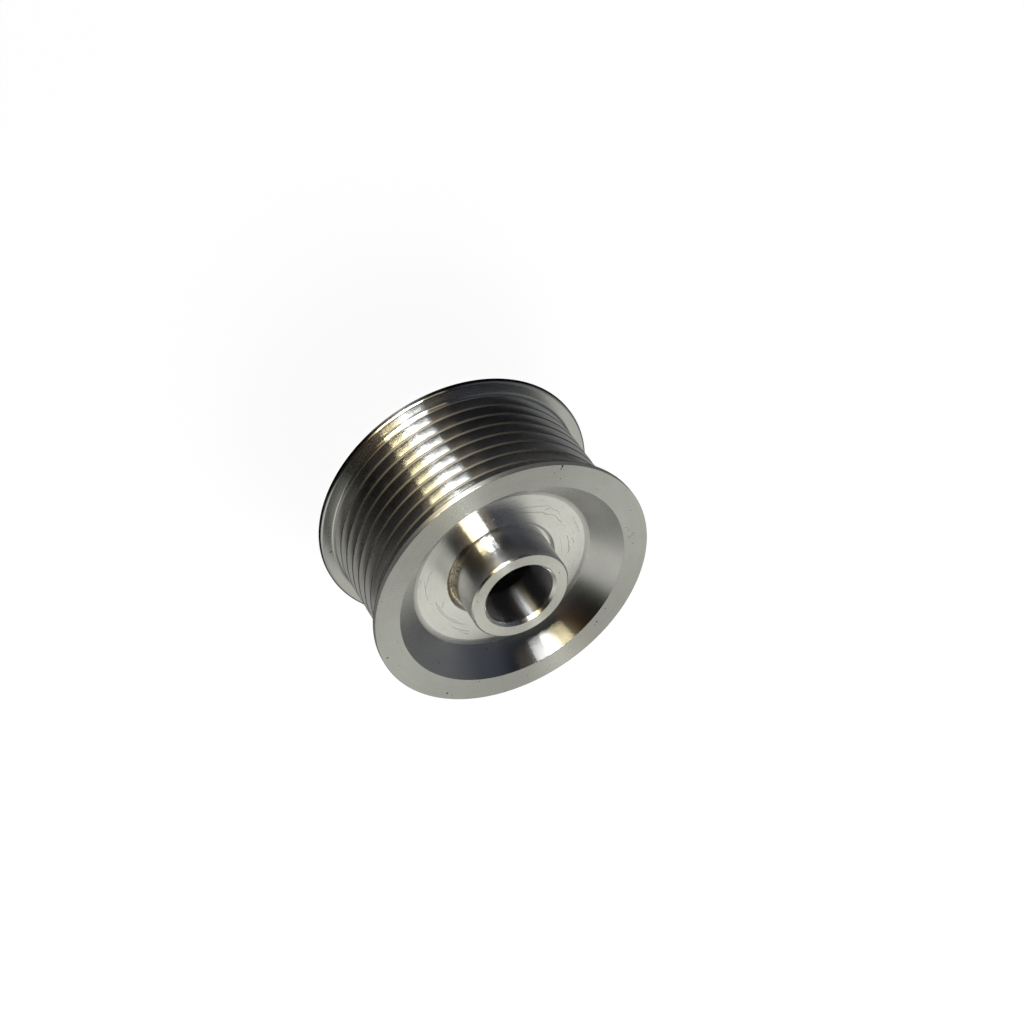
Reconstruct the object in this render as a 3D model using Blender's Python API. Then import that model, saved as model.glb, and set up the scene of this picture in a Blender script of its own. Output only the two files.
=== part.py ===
"""Eight-groove belt pulley, turned from one piece of bright steel.

The axis is +Z. The pulley stands on its rear face at z = 0, with the hub nose up,
and its origin lies on the axis in the plane of the rear face. Sizes are in metres.
"""
import math

import bpy

# Belt track, for a belt of multi-rib section with a 3.56 mm pitch
GROOVE_COUNT = 8
GROOVE_PITCH = 0.00356
GROOVE_ANGLE = math.radians(40.0)
CREST_RADIUS = 0.03158
CREST_WIDTH = 0.00055
CREST_ROUND = 0.0001
ROOT_ROUND = 0.0005
FRONT_SHOULDER_WIDTH = 0.0010
REAR_SHOULDER_WIDTH = 0.00115

# Flanges that keep the belt on its track
FRONT_FLANGE_RADIUS = 0.03463
FRONT_FLANGE_WIDTH = 0.00195
REAR_FLANGE_RADIUS = 0.03480
REAR_FLANGE_WIDTH = 0.00150
FLANGE_INNER_ROUND = 0.0007
FLANGE_FOOT_FILLET = 0.0007
RIM_EDGE_BREAK = 0.00015

# Conical recess in the front face
RECESS_MOUTH_RADIUS = 0.02853
RECESS_DEPTH = 0.0064
RECESS_WALL_ANGLE = math.radians(45.0)
RECESS_CORNER_FILLET = 0.0016

# Hub, whose nose stands proud of the front face
HUB_RADIUS = 0.0123
HUB_PROUD = 0.0037
HUB_EDGE_CHAMFER = 0.0004
HUB_GROOVE_WIDTH = 0.0014
HUB_GROOVE_DEPTH = 0.0008
HUB_GROOVE_FLOOR = 0.0007

# Shaft bore, with a short fitted length and a relieved length behind it
BORE_RADIUS = 0.0085
BORE_FITTED_LENGTH = 0.0113
BORE_MOUTH_CHAMFER = 0.0007
BORE_RELIEF = 0.0006

# Nut recess in the rear face
NUT_RECESS_RADIUS = 0.0200
NUT_RECESS_DEPTH = 0.0145
NUT_RECESS_FILLET = 0.0010
NUT_RECESS_CHAMFER = 0.0010
NUT_SEAT_CHAMFER = 0.0004

# How finely the turned surface is faceted
TURN_STEPS = 60
SHARP_ANGLE = math.radians(24.0)
WELD_DISTANCE = 0.000001

# Heights worked out from the sizes above
GROOVE_WIDTH = GROOVE_PITCH - CREST_WIDTH
TRACK_LENGTH = (GROOVE_COUNT - 1) * GROOVE_PITCH + GROOVE_WIDTH
REAR_SIDE_LENGTH = REAR_FLANGE_WIDTH + REAR_SHOULDER_WIDTH
FRONT_SIDE_LENGTH = FRONT_FLANGE_WIDTH + FRONT_SHOULDER_WIDTH
FRONT_FACE = REAR_SIDE_LENGTH + TRACK_LENGTH + FRONT_SIDE_LENGTH
HUB_END = FRONT_FACE + HUB_PROUD
RECESS_FLOOR = FRONT_FACE - RECESS_DEPTH
FIRST_GROOVE = FRONT_FACE - FRONT_SIDE_LENGTH - GROOVE_WIDTH / 2.0


def rounded(before, corner, after, radius, steps):
    """Points of the arc that rounds a corner of the section, tangent to both its sides."""
    side_in = math.hypot(before[0] - corner[0], before[1] - corner[1])
    side_out = math.hypot(after[0] - corner[0], after[1] - corner[1])
    to_before = ((before[0] - corner[0]) / side_in, (before[1] - corner[1]) / side_in)
    to_after = ((after[0] - corner[0]) / side_out, (after[1] - corner[1]) / side_out)
    half_angle = math.acos(to_before[0] * to_after[0] + to_before[1] * to_after[1]) / 2.0
    bisector = (to_before[0] + to_after[0], to_before[1] + to_after[1])
    bisector_length = math.hypot(*bisector)
    reach = radius / math.sin(half_angle)
    centre = (corner[0] + bisector[0] / bisector_length * reach,
              corner[1] + bisector[1] / bisector_length * reach)
    tangent = radius / math.tan(half_angle)
    start = (corner[0] + to_before[0] * tangent, corner[1] + to_before[1] * tangent)
    finish = (corner[0] + to_after[0] * tangent, corner[1] + to_after[1] * tangent)
    start_angle = math.atan2(start[1] - centre[1], start[0] - centre[0])
    turn = math.atan2(finish[1] - centre[1], finish[0] - centre[0]) - start_angle
    turn = (turn + math.pi) % (2.0 * math.pi) - math.pi
    angles = [start_angle + turn * step / steps for step in range(steps + 1)]
    return [(centre[0] + radius * math.cos(a), centre[1] + radius * math.sin(a)) for a in angles]


def front_flange():
    """Outer corners of the front flange, each as radius, height, rounding and arc steps."""
    inner_face = FRONT_FACE - FRONT_FLANGE_WIDTH
    return [
        (FRONT_FLANGE_RADIUS, FRONT_FACE, RIM_EDGE_BREAK, 1),
        (FRONT_FLANGE_RADIUS, inner_face, FLANGE_INNER_ROUND, 2),
        (CREST_RADIUS, inner_face, FLANGE_FOOT_FILLET, 2),
    ]


def belt_grooves():
    """Corners of the V grooves: each has two rounded lips and a rounded root between them."""
    corners = []
    vee_depth = GROOVE_WIDTH / 2.0 / math.tan(GROOVE_ANGLE / 2.0)
    for groove in range(GROOVE_COUNT):
        middle = FIRST_GROOVE - groove * GROOVE_PITCH
        corners.append((CREST_RADIUS, middle + GROOVE_WIDTH / 2.0, CREST_ROUND, 1))
        corners.append((CREST_RADIUS - vee_depth, middle, ROOT_ROUND, 2))
        corners.append((CREST_RADIUS, middle - GROOVE_WIDTH / 2.0, CREST_ROUND, 1))
    return corners


def rear_flange():
    """Outer corners of the rear flange, down to the face that the pulley stands on."""
    return [
        (CREST_RADIUS, REAR_FLANGE_WIDTH, FLANGE_FOOT_FILLET, 2),
        (REAR_FLANGE_RADIUS, REAR_FLANGE_WIDTH, FLANGE_INNER_ROUND, 2),
        (REAR_FLANGE_RADIUS, 0.0, RIM_EDGE_BREAK, 1),
    ]


def nut_recess():
    """Corners of the rear recess and of the flat seat that the shaft nut bears on."""
    relief_radius = BORE_RADIUS + BORE_RELIEF
    return [
        (NUT_RECESS_RADIUS + NUT_RECESS_CHAMFER, 0.0, 0.0, 0),
        (NUT_RECESS_RADIUS, NUT_RECESS_CHAMFER, 0.0, 0),
        (NUT_RECESS_RADIUS, NUT_RECESS_DEPTH, NUT_RECESS_FILLET, 2),
        (relief_radius + NUT_SEAT_CHAMFER, NUT_RECESS_DEPTH, 0.0, 0),
        (relief_radius, NUT_RECESS_DEPTH + NUT_SEAT_CHAMFER, 0.0, 0),
    ]


def bore():
    """Corners of the shaft bore, up from its relieved length to the mouth in the hub nose."""
    fitted_start = HUB_END - BORE_FITTED_LENGTH
    return [
        (BORE_RADIUS + BORE_RELIEF, fitted_start - BORE_RELIEF, 0.0, 0),
        (BORE_RADIUS, fitted_start, 0.0, 0),
        (BORE_RADIUS, HUB_END - BORE_MOUTH_CHAMFER, 0.0, 0),
        (BORE_RADIUS + BORE_MOUTH_CHAMFER, HUB_END, 0.0, 0),
    ]


def hub_and_front_recess():
    """Corners of the hub nose, the groove at its root and the conical front recess."""
    groove_bottom = RECESS_FLOOR - HUB_GROOVE_DEPTH
    recess_floor_radius = RECESS_MOUTH_RADIUS - RECESS_DEPTH * math.tan(RECESS_WALL_ANGLE)
    return [
        (HUB_RADIUS - HUB_EDGE_CHAMFER, HUB_END, 0.0, 0),
        (HUB_RADIUS, HUB_END - HUB_EDGE_CHAMFER, 0.0, 0),
        (HUB_RADIUS, groove_bottom, 0.0, 0),
        (HUB_RADIUS + HUB_GROOVE_FLOOR, groove_bottom, 0.0, 0),
        (HUB_RADIUS + HUB_GROOVE_WIDTH, RECESS_FLOOR, 0.0, 0),
        (recess_floor_radius, RECESS_FLOOR, RECESS_CORNER_FILLET, 3),
        (RECESS_MOUTH_RADIUS, FRONT_FACE, 0.0, 0),
    ]


def section():
    """The closed half section: down the outside, in at the rear and up through the bore."""
    corners = front_flange() + belt_grooves() + rear_flange()
    corners += nut_recess() + bore() + hub_and_front_recess()
    points = []
    for index, (radius, height, rounding, steps) in enumerate(corners):
        if rounding > 0.0:
            before = corners[index - 1][:2]
            after = corners[(index + 1) % len(corners)][:2]
            points += rounded(before, (radius, height), after, rounding, steps)
        else:
            points.append((radius, height))
    return points


def steel():
    """Bright turned steel."""
    material = bpy.data.materials.new("turned_steel")
    material.use_nodes = True
    shader = material.node_tree.nodes["Principled BSDF"]
    shader.inputs["Base Color"].default_value = (0.62, 0.61, 0.59, 1.0)
    shader.inputs["Metallic"].default_value = 1.0
    shader.inputs["Roughness"].default_value = 0.3
    return material


def pulley():
    """The whole pulley: its half section turned once round the axis."""
    points = section()
    mesh = bpy.data.meshes.new("pulley")
    edges = [(index, (index + 1) % len(points)) for index in range(len(points))]
    mesh.from_pydata([(radius, 0.0, height) for radius, height in points], edges, [])
    mesh.materials.append(steel())
    body = bpy.data.objects.new("pulley", mesh)
    bpy.context.scene.collection.objects.link(body)

    turn = body.modifiers.new("turn", "SCREW")
    turn.axis = "Z"
    turn.angle = 2.0 * math.pi
    turn.steps = TURN_STEPS
    turn.render_steps = TURN_STEPS
    turn.use_merge_vertices = True
    turn.merge_threshold = WELD_DISTANCE

    bpy.context.view_layer.update()
    depsgraph = bpy.context.evaluated_depsgraph_get()
    turned = bpy.data.meshes.new_from_object(body.evaluated_get(depsgraph))
    turned.name = "pulley"
    turned.shade_smooth()
    turned.set_sharp_from_angle(angle=SHARP_ANGLE)
    body.modifiers.clear()
    body.data = turned
    bpy.data.meshes.remove(mesh)
    return body


for existing in list(bpy.data.objects):
    bpy.data.objects.remove(existing, do_unlink=True)

pulley()
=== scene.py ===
"""The looks of a ribbed belt pulley: bright turned steel under soft studio light on a pale floor."""

import math

import bpy
from mathutils import Matrix, Vector


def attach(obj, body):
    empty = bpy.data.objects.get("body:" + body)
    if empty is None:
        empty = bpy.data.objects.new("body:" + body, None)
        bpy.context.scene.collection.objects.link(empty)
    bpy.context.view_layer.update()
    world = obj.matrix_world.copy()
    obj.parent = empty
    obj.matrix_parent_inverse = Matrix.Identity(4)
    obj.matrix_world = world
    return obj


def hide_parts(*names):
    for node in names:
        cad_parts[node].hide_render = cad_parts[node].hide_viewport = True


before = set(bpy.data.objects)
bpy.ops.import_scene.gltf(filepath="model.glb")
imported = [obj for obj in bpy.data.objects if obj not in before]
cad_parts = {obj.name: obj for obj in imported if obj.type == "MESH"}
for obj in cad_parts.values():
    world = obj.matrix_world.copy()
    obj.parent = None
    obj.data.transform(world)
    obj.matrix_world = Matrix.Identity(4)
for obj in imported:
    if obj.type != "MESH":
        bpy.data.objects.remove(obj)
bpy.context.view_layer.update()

# Section of the pulley, in metres
GROOVE_COUNT = 8
GROOVE_PITCH = 0.00356
GROOVE_ANGLE = math.radians(40.0)
CREST_RADIUS = 0.03158
CREST_WIDTH = 0.00055
CREST_ROUND = 0.0001
ROOT_ROUND = 0.0005
FRONT_SHOULDER_WIDTH = 0.0010
REAR_SHOULDER_WIDTH = 0.00115
FRONT_FLANGE_RADIUS = 0.03463
FRONT_FLANGE_WIDTH = 0.00195
REAR_FLANGE_RADIUS = 0.03480
REAR_FLANGE_WIDTH = 0.00150
FLANGE_INNER_ROUND = 0.0007
FLANGE_FOOT_FILLET = 0.0007
RIM_EDGE_BREAK = 0.00015
RECESS_MOUTH_RADIUS = 0.02853
RECESS_DEPTH = 0.0064
RECESS_WALL_ANGLE = math.radians(45.0)
RECESS_CORNER_FILLET = 0.0016
HUB_RADIUS = 0.0123
HUB_PROUD = 0.0037
HUB_EDGE_CHAMFER = 0.0004
HUB_GROOVE_WIDTH = 0.0014
HUB_GROOVE_DEPTH = 0.0008
HUB_GROOVE_FLOOR = 0.0007
BORE_RADIUS = 0.0085
BORE_FITTED_LENGTH = 0.0113
BORE_MOUTH_CHAMFER = 0.0007
BORE_RELIEF = 0.0006
NUT_RECESS_RADIUS = 0.0200
NUT_RECESS_DEPTH = 0.0145
NUT_RECESS_FILLET = 0.0010
NUT_RECESS_CHAMFER = 0.0010
NUT_SEAT_CHAMFER = 0.0004
EDGE_BREAK = 0.00008

GROOVE_WIDTH = GROOVE_PITCH - CREST_WIDTH
TRACK_LENGTH = (GROOVE_COUNT - 1) * GROOVE_PITCH + GROOVE_WIDTH
FRONT_SIDE_LENGTH = FRONT_FLANGE_WIDTH + FRONT_SHOULDER_WIDTH
FRONT_FACE = REAR_FLANGE_WIDTH + REAR_SHOULDER_WIDTH + TRACK_LENGTH + FRONT_SIDE_LENGTH
HUB_END = FRONT_FACE + HUB_PROUD
RECESS_FLOOR = FRONT_FACE - RECESS_DEPTH
FIRST_GROOVE = FRONT_FACE - FRONT_SIDE_LENGTH - GROOVE_WIDTH / 2.0
TURN_STEPS = 288

# Bounds between the finishes, with their painted light and shade: a height in the web, a radius behind the
# grooves, and small margins
WEB_HEIGHT = NUT_RECESS_DEPTH + 0.002
BEHIND_GROOVES = NUT_RECESS_RADIUS + 0.004
NEAR = 0.0001
FOOT = 0.0003

# Camera, fitted to the photograph: angles from the axis and of the frame, distance and lens
CAMERA_FROM_AXIS = math.radians(49.6523)
CAMERA_DISTANCE = 0.53223
CAMERA_YAW = math.radians(0.0479)
CAMERA_PITCH = math.radians(-1.8283)
CAMERA_ROLL = math.radians(145.4567)
CAMERA_LENS = 81.33
CAMERA_SENSOR = 36.0

# Surroundings: azimuth and colour, then elevation and how bright they are there
WORLD_AROUND = [
    (-180, (1.00, 1.00, 0.93)), (-162, (0.64, 0.65, 0.61)), (-148, (0.40, 0.41, 0.39)),
    (-125, (0.28, 0.29, 0.30)), (-105, (0.19, 0.20, 0.22)), (-82, (0.10, 0.11, 0.14)),
    (-60, (0.10, 0.11, 0.15)), (-45, (0.025, 0.03, 0.055)), (-30, (0.01, 0.015, 0.03)),
    (14, (0.01, 0.01, 0.01)), (25, (0.15, 0.085, 0.04)), (38, (0.05, 0.028, 0.012)), (54, (0.005, 0.005, 0.005)),
    (67, (0.07, 0.07, 0.06)), (81, (0.80, 0.80, 0.74)), (105, (0.95, 0.96, 0.88)), (125, (0.66, 0.66, 0.61)),
    (150, (0.42, 0.42, 0.39)), (164, (0.60, 0.61, 0.57)), (180, (1.00, 1.00, 0.93)),
]
WORLD_UPWARD = [(0, 0.40), (20, 0.62), (35, 1.08), (42, 0.75), (50, 0.50), (58, 0.12), (90, 0.03)]

# Lamps: name, azimuth, elevation, distance, width, height, power and colour
STRIPS = [
    ("strip_white", -7.5, 22.0, 1.40, 0.56, 0.54, 17.0, (0.96, 0.99, 1.0)),
    ("strip_gold", 9.0, 22.0, 1.40, 0.39, 0.54, 11.0, (1.0, 0.88, 0.54)),
    ("strip_core", -4.0, 22.0, 1.35, 0.14, 0.54, 11.0, (1.0, 1.0, 1.0)),
    ("strip_wide", -6.0, 22.0, 1.45, 1.60, 0.54, 2.6, (1.0, 0.80, 0.52)),
]
FLOOR_LAMP = ("floor_lamp", 180.0, 36.0, 1.60, 0.7, 0.7, 22.0, (1.0, 1.0, 1.0))

# The floor shows as white with a faint shadow; metal mirrors it dimmer, and dark close to the pulley as a
# painted shadow
FLOOR_SEEN_GLOW = 0.94
FLOOR_SEEN_COLOUR = 0.10
FLOOR_MIRRORED_GLOW = 0.26
FLOOR_PAINTED_SHADOW_RADIUS = 0.050
FLOOR_PAINTED_SHADOW_END = 0.085
FLOOR_HALF_SIZE = 6.0

# Marks in the metal, in features per metre
FINE_RINGS = 9000.0
BROAD_RINGS = 1600.0
GRAIN = 2600.0
CLOUDS = 230.0
SPECK_CELLS = 700.0
PIT_EDGES = 2500.0
SCRATCH_BENDS = 260.0
SCRATCH_PATCHES = 120.0
STAIN_AND_LIGHT_MOTTLE = 1300.0

# How far a pit's edge and a scratch wander, and how deep the tool marks are, in metres
PIT_WANDER = 0.00035
SCRATCH_WANDER = 0.0016
MARK_DEPTH = 0.000004

# Colours of the wear, and of the stain at the hub's root with its painted highlight and painted shade
DIRT = (0.035, 0.030, 0.028)
SCRATCH_GREY = (0.16, 0.155, 0.15)
STAIN_AND_SHADE_EDGE = (0.10, 0.075, 0.05)
STAIN_AND_HIGHLIGHT_CREAM = (0.80, 0.68, 0.44)

# Pits and nicks, as radius, degrees round the axis, height and size, in millimetres
RING_PITS = [
    (34.3, -44.5, 33.53, 0.30), (33.9, -44.6, 33.53, 0.26), (33.4, -44.4, 33.53, 0.22),
    (33.35, 82.5, 33.53, 0.32), (32.9, 124.0, 33.53, 0.30), (30.5, -158.0, 33.53, 0.28),
    (29.9, -108.0, 33.53, 0.16), (30.3, -107.6, 33.53, 0.16), (30.7, -107.0, 33.53, 0.16),
    (31.1, -106.2, 33.53, 0.16), (30.0, -103.0, 33.53, 0.16), (29.6, -101.0, 33.53, 0.15),
]
WALL_PITS = [(28.3, -159.0, 33.3, 0.25), (23.6, 144.0, 28.6, 0.22), (26.5, 112.0, 31.5, 0.18)]
RECESS_PITS = [
    (13.3, 49.0, 26.6, 0.42), (13.5, 62.0, 26.9, 0.20), (13.1, 71.0, 26.5, 0.18), (15.6, 83.0, 27.13, 0.14),
]
HUB_END_PITS = [(12.1, 82.0, 37.2, 0.34), (11.3, 52.0, 37.23, 0.16), (10.4, -95.0, 37.23, 0.18)]
GROOVE_PITS = [
    (30.4, 50.0, 13.8, 0.55), (31.6, 40.0, 13.2, 0.32), (31.6, 52.8, 9.8, 0.26), (31.5, 49.2, 13.4, 0.24),
    (31.6, 55.8, 13.3, 0.26), (31.4, 47.0, 20.5, 0.26), (31.6, 51.5, 6.2, 0.24), (31.6, -37.2, 27.6, 0.36),
    (32.6, 71.7, 1.5, 0.34), (31.6, 61.0, 9.7, 0.22),
]

# Scratches on the recess floor: radius and degrees at both ends, and half width, in millimetres
SCRATCHES = [
    (17.6, -38.5, 18.9, -62.2, 0.07), (18.9, -62.2, 18.4, -76.5, 0.06), (16.2, -40.0, 17.2, -68.8, 0.07),
    (17.2, -68.8, 17.25, -85.0, 0.06), (17.6, -61.5, 18.35, -65.2, 0.08), (17.25, -101.0, 17.4, -121.0, 0.08),
    (18.35, -105.8, 18.55, -112.0, 0.06), (20.0, 54.5, 18.9, 74.2, 0.05), (17.4, 79.2, 17.4, 111.8, 0.07),
    (17.4, 111.8, 17.0, 122.8, 0.06), (16.9, 84.0, 17.0, 113.2, 0.05), (15.4, 82.8, 16.55, 88.2, 0.09),
    (18.65, 112.0, 19.0, 129.0, 0.07), (19.35, 120.8, 19.65, 130.0, 0.06), (18.65, 46.2, 19.55, 61.0, 0.05),
    (21.0, 52.8, 21.35, 59.5, 0.06), (15.2, -98.0, 15.5, -118.0, 0.04), (20.3, -88.0, 20.1, -104.0, 0.04),
]

# Finishes of the turned steel: name, colour, roughness, spread of highlights across the rings, wear. The colours
# are painted light and shade on one steel: lighter on the hub end, the recess floor and its corner, the hub's
# side and the bore, darker and browner on the crests.
ZONES = [
    ("steel_front_ring", (0.59, 0.59, 0.56), 0.27, 0.96, {"grain": 0.5, "specks": 0.6, "pits": RING_PITS}),
    ("steel_hub_end", (0.73, 0.72, 0.68), 0.27, 0.94, {"grain": 0.4, "specks": 0.4, "pits": HUB_END_PITS}),
    ("steel_recess_floor", (0.88, 0.87, 0.84), 0.24, 0.95,
     {"grain": 0.4, "specks": 0.4, "pits": RECESS_PITS, "scratches": 0.62, "stain_and_light": True}),
    ("steel_recess_corner", (0.84, 0.84, 0.81), 0.42, 0.90, {"grain": 0.4}),
    ("steel_hub_side", (0.72, 0.72, 0.72), 0.16, 1.0, {"grain": 0.0}),
    ("steel_recess_wall", (0.56, 0.56, 0.55), 0.22, 1.0, {"grain": 0.25, "pits": WALL_PITS}),
    ("steel_bore", (0.70, 0.70, 0.72), 0.22, 1.0, {"grain": 0.0}),
    ("steel_crests", (0.33, 0.295, 0.24), 0.42, 0.60, {"grain": 0.0, "pits": GROOVE_PITS}),
    ("steel_grooves", (0.56, 0.56, 0.56), 0.16, 1.0, {"grain": 0.0, "pits": GROOVE_PITS}),
    ("steel_front_edge", (0.62, 0.60, 0.56), 0.36, 0.92, {"grain": 0.0}),
    ("steel_outside", (0.64, 0.64, 0.62), 0.19, 1.0, {"grain": 0.0, "pits": GROOVE_PITS}),
]


def rounded(before, corner, after, radius, steps):
    """The arc that rounds a corner of the section, as points with the direction that each faces."""
    corner = Vector(corner)
    to_before = (Vector(before) - corner).normalized()
    to_after = (Vector(after) - corner).normalized()
    half_angle = to_before.angle(to_after) / 2.0
    centre = corner + (to_before + to_after).normalized() * (radius / math.sin(half_angle))
    start = corner + to_before * (radius / math.tan(half_angle)) - centre
    finish = corner + to_after * (radius / math.tan(half_angle)) - centre
    start_angle = math.atan2(start.y, start.x)
    turn = math.atan2(finish.y, finish.x) - start_angle
    turn = (turn + math.pi) % (2.0 * math.pi) - math.pi
    facing = -1.0 if turn > 0.0 else 1.0
    arc = []
    for step in range(steps + 1):
        angle = start_angle + turn * step / steps
        cosine, sine = math.cos(angle), math.sin(angle)
        arc.append((centre.x + radius * cosine, centre.y + radius * sine, facing * cosine, facing * sine))
    return arc


def section_corners():
    """Corners of the closed half section, each as radius, height, rounding and arc steps."""
    corners = [
        (FRONT_FLANGE_RADIUS, FRONT_FACE, RIM_EDGE_BREAK, 3),
        (FRONT_FLANGE_RADIUS, FRONT_FACE - FRONT_FLANGE_WIDTH, FLANGE_INNER_ROUND, 8),
        (CREST_RADIUS, FRONT_FACE - FRONT_FLANGE_WIDTH, FLANGE_FOOT_FILLET, 8),
    ]
    vee_depth = GROOVE_WIDTH / 2.0 / math.tan(GROOVE_ANGLE / 2.0)
    for groove in range(GROOVE_COUNT):
        middle = FIRST_GROOVE - groove * GROOVE_PITCH
        corners.append((CREST_RADIUS, middle + GROOVE_WIDTH / 2.0, CREST_ROUND, 4))
        corners.append((CREST_RADIUS - vee_depth, middle, ROOT_ROUND, 6))
        corners.append((CREST_RADIUS, middle - GROOVE_WIDTH / 2.0, CREST_ROUND, 4))
    corners += [
        (CREST_RADIUS, REAR_FLANGE_WIDTH, FLANGE_FOOT_FILLET, 8),
        (REAR_FLANGE_RADIUS, REAR_FLANGE_WIDTH, FLANGE_INNER_ROUND, 8),
        (REAR_FLANGE_RADIUS, 0.0, RIM_EDGE_BREAK, 3),
        (NUT_RECESS_RADIUS + NUT_RECESS_CHAMFER, 0.0, EDGE_BREAK, 2),
        (NUT_RECESS_RADIUS, NUT_RECESS_CHAMFER, EDGE_BREAK, 2),
        (NUT_RECESS_RADIUS, NUT_RECESS_DEPTH, NUT_RECESS_FILLET, 6),
        (BORE_RADIUS + BORE_RELIEF + NUT_SEAT_CHAMFER, NUT_RECESS_DEPTH, EDGE_BREAK, 2),
        (BORE_RADIUS + BORE_RELIEF, NUT_RECESS_DEPTH + NUT_SEAT_CHAMFER, EDGE_BREAK, 2),
        (BORE_RADIUS + BORE_RELIEF, HUB_END - BORE_FITTED_LENGTH - BORE_RELIEF, EDGE_BREAK, 2),
        (BORE_RADIUS, HUB_END - BORE_FITTED_LENGTH, EDGE_BREAK, 2),
        (BORE_RADIUS, HUB_END - BORE_MOUTH_CHAMFER, EDGE_BREAK, 2),
        (BORE_RADIUS + BORE_MOUTH_CHAMFER, HUB_END, EDGE_BREAK, 2),
        (HUB_RADIUS - HUB_EDGE_CHAMFER, HUB_END, EDGE_BREAK, 2),
        (HUB_RADIUS, HUB_END - HUB_EDGE_CHAMFER, EDGE_BREAK, 2),
        (HUB_RADIUS, RECESS_FLOOR - HUB_GROOVE_DEPTH, EDGE_BREAK, 2),
        (HUB_RADIUS + HUB_GROOVE_FLOOR, RECESS_FLOOR - HUB_GROOVE_DEPTH, EDGE_BREAK, 2),
        (HUB_RADIUS + HUB_GROOVE_WIDTH, RECESS_FLOOR, EDGE_BREAK, 2),
        (RECESS_MOUTH_RADIUS - RECESS_DEPTH * math.tan(RECESS_WALL_ANGLE), RECESS_FLOOR,
         RECESS_CORNER_FILLET, 8),
        (RECESS_MOUTH_RADIUS, FRONT_FACE, EDGE_BREAK, 2),
    ]
    return corners


def section():
    """The closed half section as points that face outward: down the outside and up through the bore."""
    corners = section_corners()
    points = []
    for index, (radius, height, rounding, steps) in enumerate(corners):
        before = corners[index - 1][:2]
        after = corners[(index + 1) % len(corners)][:2]
        points += rounded(before, (radius, height), after, rounding, steps)
    return points


def turned_body(points, steps):
    """The section turned once round the axis as a closed mesh, whose flat faces shade as flat."""
    count = len(points)
    vertices = []
    normals = []
    for step in range(steps):
        angle = 2.0 * math.pi * step / steps
        cosine, sine = math.cos(angle), math.sin(angle)
        vertices += [(radius * cosine, radius * sine, height) for radius, height, _, _ in points]
        normals += [(outward * cosine, outward * sine, upward) for _, _, outward, upward in points]
    faces = []
    for step in range(steps):
        here, there = step * count, (step + 1) % steps * count
        for index in range(count):
            following = (index + 1) % count
            faces.append((here + index, here + following, there + following, there + index))
    mesh = bpy.data.meshes.new("turned_pulley")
    mesh.from_pydata(vertices, [], faces)
    mesh.shade_smooth()
    mesh.normals_split_custom_set_from_vertices(normals)
    return mesh


def add(tree, kind, inputs=(), **settings):
    """A shader node with its settings; each input is given as a link or as a plain value."""
    node = tree.nodes.new("ShaderNode" + kind)
    for name, value in settings.items():
        setattr(node, name, value)
    for name, value in dict(inputs).items():
        if isinstance(value, bpy.types.NodeSocket):
            tree.links.new(value, node.inputs[name])
        else:
            node.inputs[name].default_value = value
    return node


def calc(tree, operation, *values):
    """The output of a Math node."""
    return add(tree, "Math", enumerate(values), operation=operation).outputs[0]


def fade(tree, value, start, finish):
    """Goes smoothly from 0 to 1 while the value goes from start to finish."""
    inputs = {"Value": value, "From Min": start, "From Max": finish}
    return add(tree, "MapRange", inputs, interpolation_type="SMOOTHSTEP").outputs["Result"]


def noise(tree, vector, scale, detail=2.0):
    """A noise texture of a given number of features per metre."""
    inputs = {"Vector": vector, "Scale": scale, "Detail": detail}
    return add(tree, "TexNoise", inputs)


def polar(tree):
    """Place on the pulley, and its radius, angle and height."""
    place = add(tree, "TexCoord").outputs["Object"]
    parts = add(tree, "SeparateXYZ", {"Vector": place})
    flat = add(tree, "CombineXYZ", {"X": parts.outputs["X"], "Y": parts.outputs["Y"]}).outputs[0]
    radius = add(tree, "VectorMath", {0: flat}, operation="LENGTH").outputs["Value"]
    outward = add(tree, "VectorMath", {0: flat}, operation="NORMALIZE").outputs["Vector"]
    angle = calc(tree, "ARCTAN2", parts.outputs["Y"], parts.outputs["X"])
    return place, radius, outward, angle, parts.outputs["Z"]


def ring_noise(tree, outward, along, per_metre, drift):
    """Noise that changes quickly across the turned rings and slowly round them."""
    slow = add(tree, "VectorMath", {0: outward, "Scale": drift}, operation="SCALE").outputs["Vector"]
    across = calc(tree, "MULTIPLY", along, per_metre)
    inputs = {"Vector": slow, "W": across, "Scale": 1.0, "Detail": 2.0}
    return add(tree, "TexNoise", inputs, noise_dimensions="4D").outputs["Fac"]


def pits_mask(tree, place, pits):
    """1 inside the pits and 0 outside; each pit is radius, degrees, height and size in millimetres."""
    jitter = noise(tree, place, PIT_EDGES, 1.0).outputs["Color"]
    moved = add(tree, "VectorMath", {0: jitter, 1: (PIT_WANDER, PIT_WANDER, PIT_WANDER), 2: place},
                operation="MULTIPLY_ADD").outputs["Vector"]
    mask = None
    for radius, degrees, height, size in pits:
        turn = math.radians(degrees)
        centre = (radius * math.cos(turn) / 1000.0 + PIT_WANDER / 2.0,
                  radius * math.sin(turn) / 1000.0 + PIT_WANDER / 2.0,
                  height / 1000.0 + PIT_WANDER / 2.0)
        away = add(tree, "VectorMath", {0: moved, 1: centre}, operation="DISTANCE").outputs["Value"]
        inside = fade(tree, away, size / 1000.0, size / 2200.0)
        mask = inside if mask is None else calc(tree, "MAXIMUM", mask, inside)
    return mask


def specks_mask(tree, place):
    """Tiny dark specks scattered over the metal."""
    cells = add(tree, "TexVoronoi", {"Vector": place, "Scale": SPECK_CELLS})
    near = fade(tree, cells.outputs["Distance"], 0.13, 0.05)
    chosen = calc(tree, "GREATER_THAN", add(tree, "SeparateColor", {"Color": cells.outputs["Color"]}).outputs[0],
                  0.80)
    return calc(tree, "MULTIPLY", near, chosen)


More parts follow.
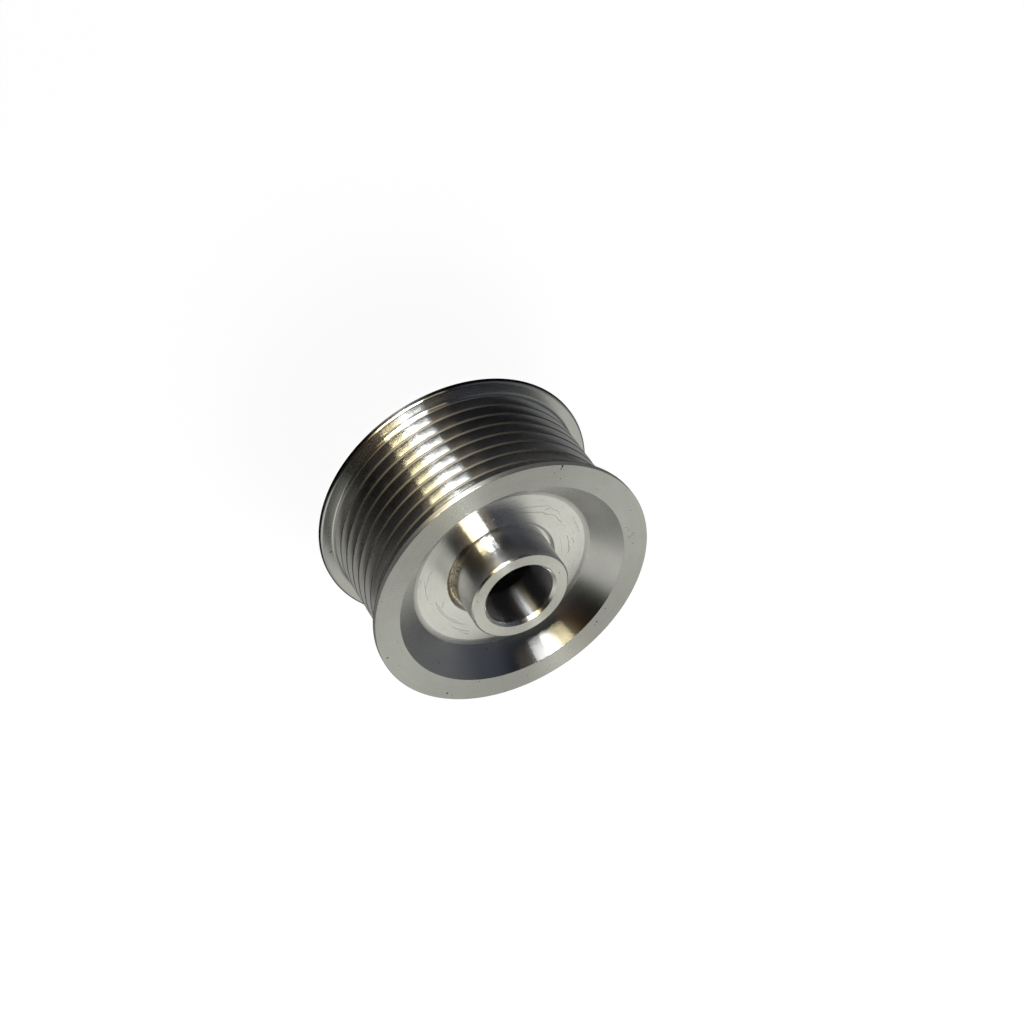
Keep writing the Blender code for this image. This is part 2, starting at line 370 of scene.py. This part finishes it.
def scratches_mask(tree, radius, angle, place):
    """Thin arcs that wander a little, over fainter marks that come in patches."""
    wander = calc(tree, "SUBTRACT", noise(tree, place, SCRATCH_BENDS, 2.0).outputs["Fac"], 0.5)
    moved = calc(tree, "MULTIPLY_ADD", wander, SCRATCH_WANDER, radius)
    mask = None
    for start_radius, start, end_radius, end, half_width in SCRATCHES:
        inputs = {"Value": angle, "From Min": math.radians(start), "From Max": math.radians(end),
                  "To Min": start_radius / 1000.0, "To Max": end_radius / 1000.0}
        middle = add(tree, "MapRange", inputs).outputs["Result"]
        across = calc(tree, "COMPARE", moved, middle, half_width / 1000.0)
        beside = calc(tree, "COMPARE", angle, math.radians((start + end) / 2.0),
                      math.radians(abs(end - start) / 2.0))
        line = calc(tree, "MULTIPLY", across, beside)
        mask = line if mask is None else calc(tree, "MAXIMUM", mask, line)
    flow = add(tree, "CombineXYZ", {"X": calc(tree, "MULTIPLY", angle, 0.7),
                                    "Y": calc(tree, "MULTIPLY", radius, 420.0)}).outputs[0]
    field = calc(tree, "MULTIPLY", noise(tree, flow, 1.6, 2.5).outputs["Fac"], 9.0)
    level = calc(tree, "ABSOLUTE", calc(tree, "SUBTRACT", calc(tree, "FRACT", field), 0.5))
    patches = fade(tree, noise(tree, place, SCRATCH_PATCHES, 2.0).outputs["Fac"], 0.44, 0.60)
    faint = calc(tree, "MULTIPLY", fade(tree, level, 0.06, 0.005), calc(tree, "MULTIPLY", patches, 0.4))
    return calc(tree, "MAXIMUM", mask, faint)


def tinted(tree, colour, tint, amount):
    """One colour laid over another by an amount from 0 to 1."""
    node = tree.nodes.new("ShaderNodeMix")
    node.data_type = "RGBA"
    tree.links.new(amount, node.inputs[0])
    tree.links.new(colour, node.inputs[6])
    node.inputs[7].default_value = (*tint, 1.0)
    return node.outputs[2]


def turned_steel(name, colour, roughness, anisotropy, extras):
    """Bright turned steel, whose highlights spread across the rings of tool marks."""
    material = bpy.data.materials.new(name)
    material.use_nodes = True
    tree = material.node_tree
    shader = tree.nodes["Principled BSDF"]
    place, radius, outward, angle, height = polar(tree)
    along = calc(tree, "ADD", radius, height)
    fine = ring_noise(tree, outward, along, FINE_RINGS, 5.0)
    broad = ring_noise(tree, outward, along, BROAD_RINGS, 1.5)
    grain = noise(tree, place, GRAIN, 3.0).outputs["Fac"]
    cloud = noise(tree, place, CLOUDS, 3.0).outputs["Fac"]

    # Each factor of the brightness varies a little about 1
    coarseness = extras["grain"]
    value = calc(tree, "MULTIPLY_ADD", fine, 0.10, 0.95)
    value = calc(tree, "MULTIPLY", value, calc(tree, "MULTIPLY_ADD", broad, 0.12, 0.94))
    value = calc(tree, "MULTIPLY", value,
                 calc(tree, "MULTIPLY_ADD", grain, 0.24 * coarseness, 1.0 - 0.12 * coarseness))
    value = calc(tree, "MULTIPLY", value, calc(tree, "MULTIPLY_ADD", cloud, 0.14, 0.93))
    base = add(tree, "HueSaturation", {"Color": (*colour, 1.0), "Value": value}).outputs["Color"]

    dark = None
    if "specks" in extras:
        dark = calc(tree, "MULTIPLY", specks_mask(tree, place), extras["specks"])
    if "pits" in extras:
        pits = pits_mask(tree, place, extras["pits"])
        dark = pits if dark is None else calc(tree, "MAXIMUM", dark, pits)
    if "scratches" in extras:
        lines = scratches_mask(tree, radius, angle, place)
        base = tinted(tree, base, SCRATCH_GREY, calc(tree, "MULTIPLY", lines, extras["scratches"]))
    # The stain at the hub's root carries a painted highlight and painted shade too
    if "stain_and_light" in extras:
        base = stained_and_lit(tree, base, radius, angle, height, place)
    rough = calc(tree, "MULTIPLY_ADD", grain, 0.06 * coarseness, roughness - 0.03 * coarseness)
    relief = calc(tree, "MULTIPLY_ADD", grain, 0.5 * coarseness, fine)
    if dark is not None:
        base = tinted(tree, base, DIRT, calc(tree, "MULTIPLY", dark, 0.9))
        rough = calc(tree, "MULTIPLY_ADD", dark, 0.3, rough)
        relief = calc(tree, "MULTIPLY_ADD", dark, -6.0, relief)
    tree.links.new(base, shader.inputs["Base Color"])
    tree.links.new(rough, shader.inputs["Roughness"])
    bump = add(tree, "Bump", {"Height": relief, "Strength": 0.4 * coarseness, "Distance": MARK_DEPTH})
    tree.links.new(bump.outputs["Normal"], shader.inputs["Normal"])

    shader.inputs["Metallic"].default_value = 1.0
    shader.inputs["Anisotropic"].default_value = anisotropy
    shader.inputs["Anisotropic Rotation"].default_value = 0.25
    tangent = add(tree, "Tangent", direction_type="RADIAL", axis="Z")
    tree.links.new(tangent.outputs["Tangent"], shader.inputs["Tangent"])
    return material


def stained_and_lit(tree, base, radius, angle, height, place):
    """The stain in the small groove at the hub's root: its cream middle is partly a painted highlight on the
    groove's slope, and its brown edges are partly painted shade along the groove's edges.
    """
    side = fade(tree, angle, math.radians(8.0), math.radians(22.0))
    end = fade(tree, angle, math.radians(112.0), math.radians(88.0))
    low = fade(tree, height, RECESS_FLOOR + 0.0006, RECESS_FLOOR + 0.0001)
    amount = calc(tree, "MULTIPLY", calc(tree, "MULTIPLY", side, end), low)
    mottle = noise(tree, place, STAIN_AND_LIGHT_MOTTLE, 3.0).outputs["Fac"]
    wander = calc(tree, "MULTIPLY_ADD", mottle, 0.0005, calc(tree, "SUBTRACT", radius, HUB_RADIUS + 0.00025))
    within = calc(tree, "MULTIPLY", fade(tree, wander, -0.0001, 0.0001),
                  fade(tree, wander, HUB_GROOVE_WIDTH + 0.0004, HUB_GROOVE_WIDTH + 0.0001))
    base = tinted(tree, base, STAIN_AND_SHADE_EDGE, calc(tree, "MULTIPLY", calc(tree, "MULTIPLY", amount, within), 0.8))
    middle = calc(tree, "MULTIPLY", fade(tree, wander, 0.0002, 0.0004),
                  fade(tree, wander, HUB_GROOVE_WIDTH - 0.0001, HUB_GROOVE_WIDTH - 0.0004))
    cream = calc(tree, "MULTIPLY", fade(tree, mottle, 0.38, 0.54), middle)
    return tinted(tree, base, STAIN_AND_HIGHLIGHT_CREAM, calc(tree, "MULTIPLY", amount, cream))


def zone_of(radius, height):
    """The number of the finish, with its painted light and shade, that a place on the section has."""
    corner_reach = RECESS_CORNER_FILLET * math.tan(RECESS_WALL_ANGLE / 2.0)
    corner_inner = RECESS_MOUTH_RADIUS - RECESS_DEPTH * math.tan(RECESS_WALL_ANGLE) - corner_reach
    zones = [name for name, *_ in ZONES]
    if height > HUB_END - HUB_EDGE_CHAMFER - NEAR and radius > BORE_RADIUS + NEAR:
        zone = "steel_hub_end"
    elif radius < BORE_RADIUS + NEAR and height > NUT_RECESS_DEPTH:
        zone = "steel_bore"
    elif height > FRONT_FACE - NEAR and radius > RECESS_MOUTH_RADIUS - 2.0 * NEAR:
        zone = "steel_front_ring"
    elif height > WEB_HEIGHT and radius < HUB_RADIUS + NEAR:
        zone = "steel_hub_side"
    elif height > WEB_HEIGHT and radius < corner_inner:
        zone = "steel_recess_floor"
    elif height > WEB_HEIGHT and radius < RECESS_MOUTH_RADIUS:
        low = height < RECESS_FLOOR + corner_reach * math.cos(RECESS_WALL_ANGLE)
        zone = "steel_recess_corner" if low else "steel_recess_wall"
    elif height > FRONT_FACE - FRONT_FLANGE_WIDTH + FLANGE_INNER_ROUND and radius > RECESS_MOUTH_RADIUS:
        zone = "steel_front_edge"
    elif (REAR_FLANGE_WIDTH + FOOT < height < FRONT_FACE - FRONT_FLANGE_WIDTH - FOOT
          and BEHIND_GROOVES < radius < CREST_RADIUS + NEAR):
        first = FIRST_GROOVE + GROOVE_WIDTH / 2.0 + NEAR
        last = REAR_FLANGE_WIDTH + REAR_SHOULDER_WIDTH - NEAR
        on_crest = radius > CREST_RADIUS - CREST_ROUND * 0.7 and last < height < first
        zone = "steel_crests" if on_crest else "steel_grooves"
    else:
        zone = "steel_outside"
    return zones.index(zone)


def make_pulley():
    """The finely turned pulley that stands for the solid in the render."""
    points = section()
    mesh = turned_body(points, TURN_STEPS)
    for zone in ZONES:
        mesh.materials.append(turned_steel(*zone))
    zones = []
    for index, point in enumerate(points):
        following = points[(index + 1) % len(points)]
        zones.append(zone_of((point[0] + following[0]) / 2.0, (point[1] + following[1]) / 2.0))
    mesh.polygons.foreach_set("material_index", zones * TURN_STEPS)
    body = bpy.data.objects.new("turned_pulley", mesh)
    bpy.context.scene.collection.objects.link(body)
    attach(body, "root")
    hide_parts("pulley")
    return body


def make_floor():
    """A plain pale floor, which the metal mirrors with a painted shadow close to the pulley."""
    mesh = bpy.data.meshes.new("floor")
    half = FLOOR_HALF_SIZE
    mesh.from_pydata([(-half, -half, 0.0), (half, -half, 0.0), (half, half, 0.0), (-half, half, 0.0)],
                     [], [(0, 1, 2, 3)])
    floor = bpy.data.objects.new("floor", mesh)
    bpy.context.scene.collection.objects.link(floor)
    material = bpy.data.materials.new("floor_white")
    material.use_nodes = True
    tree = material.node_tree
    shader = tree.nodes["Principled BSDF"]
    path = add(tree, "LightPath").outputs
    mirrored = calc(tree, "ADD", path["Is Glossy Ray"], path["Is Transmission Ray"])
    place = add(tree, "TexCoord").outputs["Object"]
    away = add(tree, "VectorMath", {0: place}, operation="LENGTH").outputs["Value"]
    # What the metal mirrors glows dimly, with a painted shadow that keeps it dark close to the pulley
    glow_outside_painted_shadow = calc(tree, "MULTIPLY", fade(tree, away, FLOOR_PAINTED_SHADOW_RADIUS, FLOOR_PAINTED_SHADOW_END), FLOOR_MIRRORED_GLOW)
    glow = calc(tree, "MULTIPLY_ADD", mirrored, glow_outside_painted_shadow,
                calc(tree, "MULTIPLY", path["Is Camera Ray"], FLOOR_SEEN_GLOW))
    share = calc(tree, "MULTIPLY", path["Is Camera Ray"], FLOOR_SEEN_COLOUR)
    grey = add(tree, "CombineColor", {"Red": share, "Green": share, "Blue": share}).outputs["Color"]
    tree.links.new(grey, shader.inputs["Base Color"])
    tree.links.new(glow, shader.inputs["Emission Strength"])
    shader.inputs["Emission Color"].default_value = (1.0, 1.0, 1.0, 1.0)
    shader.inputs["Roughness"].default_value = 0.9
    shader.inputs["Specular IOR Level"].default_value = 0.0
    mesh.materials.append(material)
    return floor


def softbox(name, azimuth, elevation, distance, width, height, power, colour):
    """An area lamp at an azimuth from +X and an elevation, facing the pulley."""
    lamp = bpy.data.lights.new(name, "AREA")
    lamp.shape = "RECTANGLE"
    lamp.size = width
    lamp.size_y = height
    lamp.energy = power
    lamp.color = colour
    holder = bpy.data.objects.new(name, lamp)
    bpy.context.scene.collection.objects.link(holder)
    flat = math.cos(math.radians(elevation))
    direction = Vector((flat * math.cos(math.radians(azimuth)),
                        flat * math.sin(math.radians(azimuth)),
                        math.sin(math.radians(elevation))))
    target = Vector((0.0, 0.0, FRONT_FACE / 2.0))
    holder.location = target + direction * distance
    holder.rotation_mode = "QUATERNION"
    holder.rotation_quaternion = direction.to_track_quat("Z", "Y")
    holder.visible_camera = False
    return holder


def make_lights(pulley, floor):
    """Strips near the camera for the pulley, a soft lamp behind for the floor, and dim surroundings."""
    on_pulley = bpy.data.collections.new("lit_by_strips")
    on_pulley.objects.link(pulley)
    on_floor = bpy.data.collections.new("lit_from_behind")
    on_floor.objects.link(floor)
    for strip in STRIPS:
        softbox(*strip).light_linking.receiver_collection = on_pulley
    softbox(*FLOOR_LAMP).light_linking.receiver_collection = on_floor
    make_world()


def ramp(tree, value, stops):
    """A colour ramp over stops of position and colour."""
    node = tree.nodes.new("ShaderNodeValToRGB")
    tree.links.new(value, node.inputs["Fac"])
    while len(node.color_ramp.elements) < len(stops):
        node.color_ramp.elements.new(0.5)
    for element, (position, colour) in zip(node.color_ramp.elements, stops):
        element.position = position
        element.color = (*colour, 1.0)
    return node.outputs["Color"]


def make_world():
    """Surroundings that are bright behind the pulley and dark on the camera's side."""
    world = bpy.data.worlds.new("studio")
    bpy.context.scene.world = world
    world.use_nodes = True
    tree = world.node_tree
    place = add(tree, "TexCoord").outputs["Generated"]
    parts = add(tree, "SeparateXYZ", {"Vector": place}).outputs
    angle = calc(tree, "ARCTAN2", parts["Y"], parts["X"])
    inputs = {"Value": angle, "From Min": -math.pi, "From Max": math.pi}
    turn = add(tree, "MapRange", inputs).outputs["Result"]
    around = ramp(tree, turn, [((azimuth + 180.0) / 360.0, colour) for azimuth, colour in WORLD_AROUND])
    upward = ramp(tree, parts["Z"], [(math.sin(math.radians(elevation)), (level, level, level))
                                     for elevation, level in WORLD_UPWARD])
    both = add(tree, "VectorMath", {0: around, 1: upward}, operation="MULTIPLY").outputs["Vector"]
    tree.links.new(both, tree.nodes["Background"].inputs["Color"])


def make_camera():
    """The camera of the photograph: it looks down at the pulley and is rolled on its side."""
    lens = bpy.data.cameras.new("photo_camera")
    lens.lens = CAMERA_LENS
    lens.sensor_width = CAMERA_SENSOR
    lens.clip_start = 0.01
    camera = bpy.data.objects.new("photo_camera", lens)
    bpy.context.scene.collection.objects.link(camera)
    towards = Vector((math.sin(CAMERA_FROM_AXIS), 0.0, math.cos(CAMERA_FROM_AXIS)))
    camera.location = Vector((0.0, 0.0, FRONT_FACE)) + towards * CAMERA_DISTANCE
    forward = -towards
    right = Vector((0.0, 1.0, 0.0))
    down = forward.cross(right)
    level = Matrix((right, down, forward))
    tilt = Matrix.Rotation(CAMERA_PITCH, 3, "X") @ Matrix.Rotation(CAMERA_YAW, 3, "Y")
    turned = tilt @ Matrix.Rotation(CAMERA_ROLL, 3, "Z") @ level
    axes = Matrix((turned[0], -turned[1], -turned[2])).transposed()
    camera.rotation_mode = "QUATERNION"
    camera.rotation_quaternion = axes.to_quaternion()
    bpy.context.scene.camera = camera


pulley = make_pulley()
floor = make_floor()
make_lights(pulley, floor)
make_camera()
bpy.context.scene.view_settings.view_transform = "Standard"
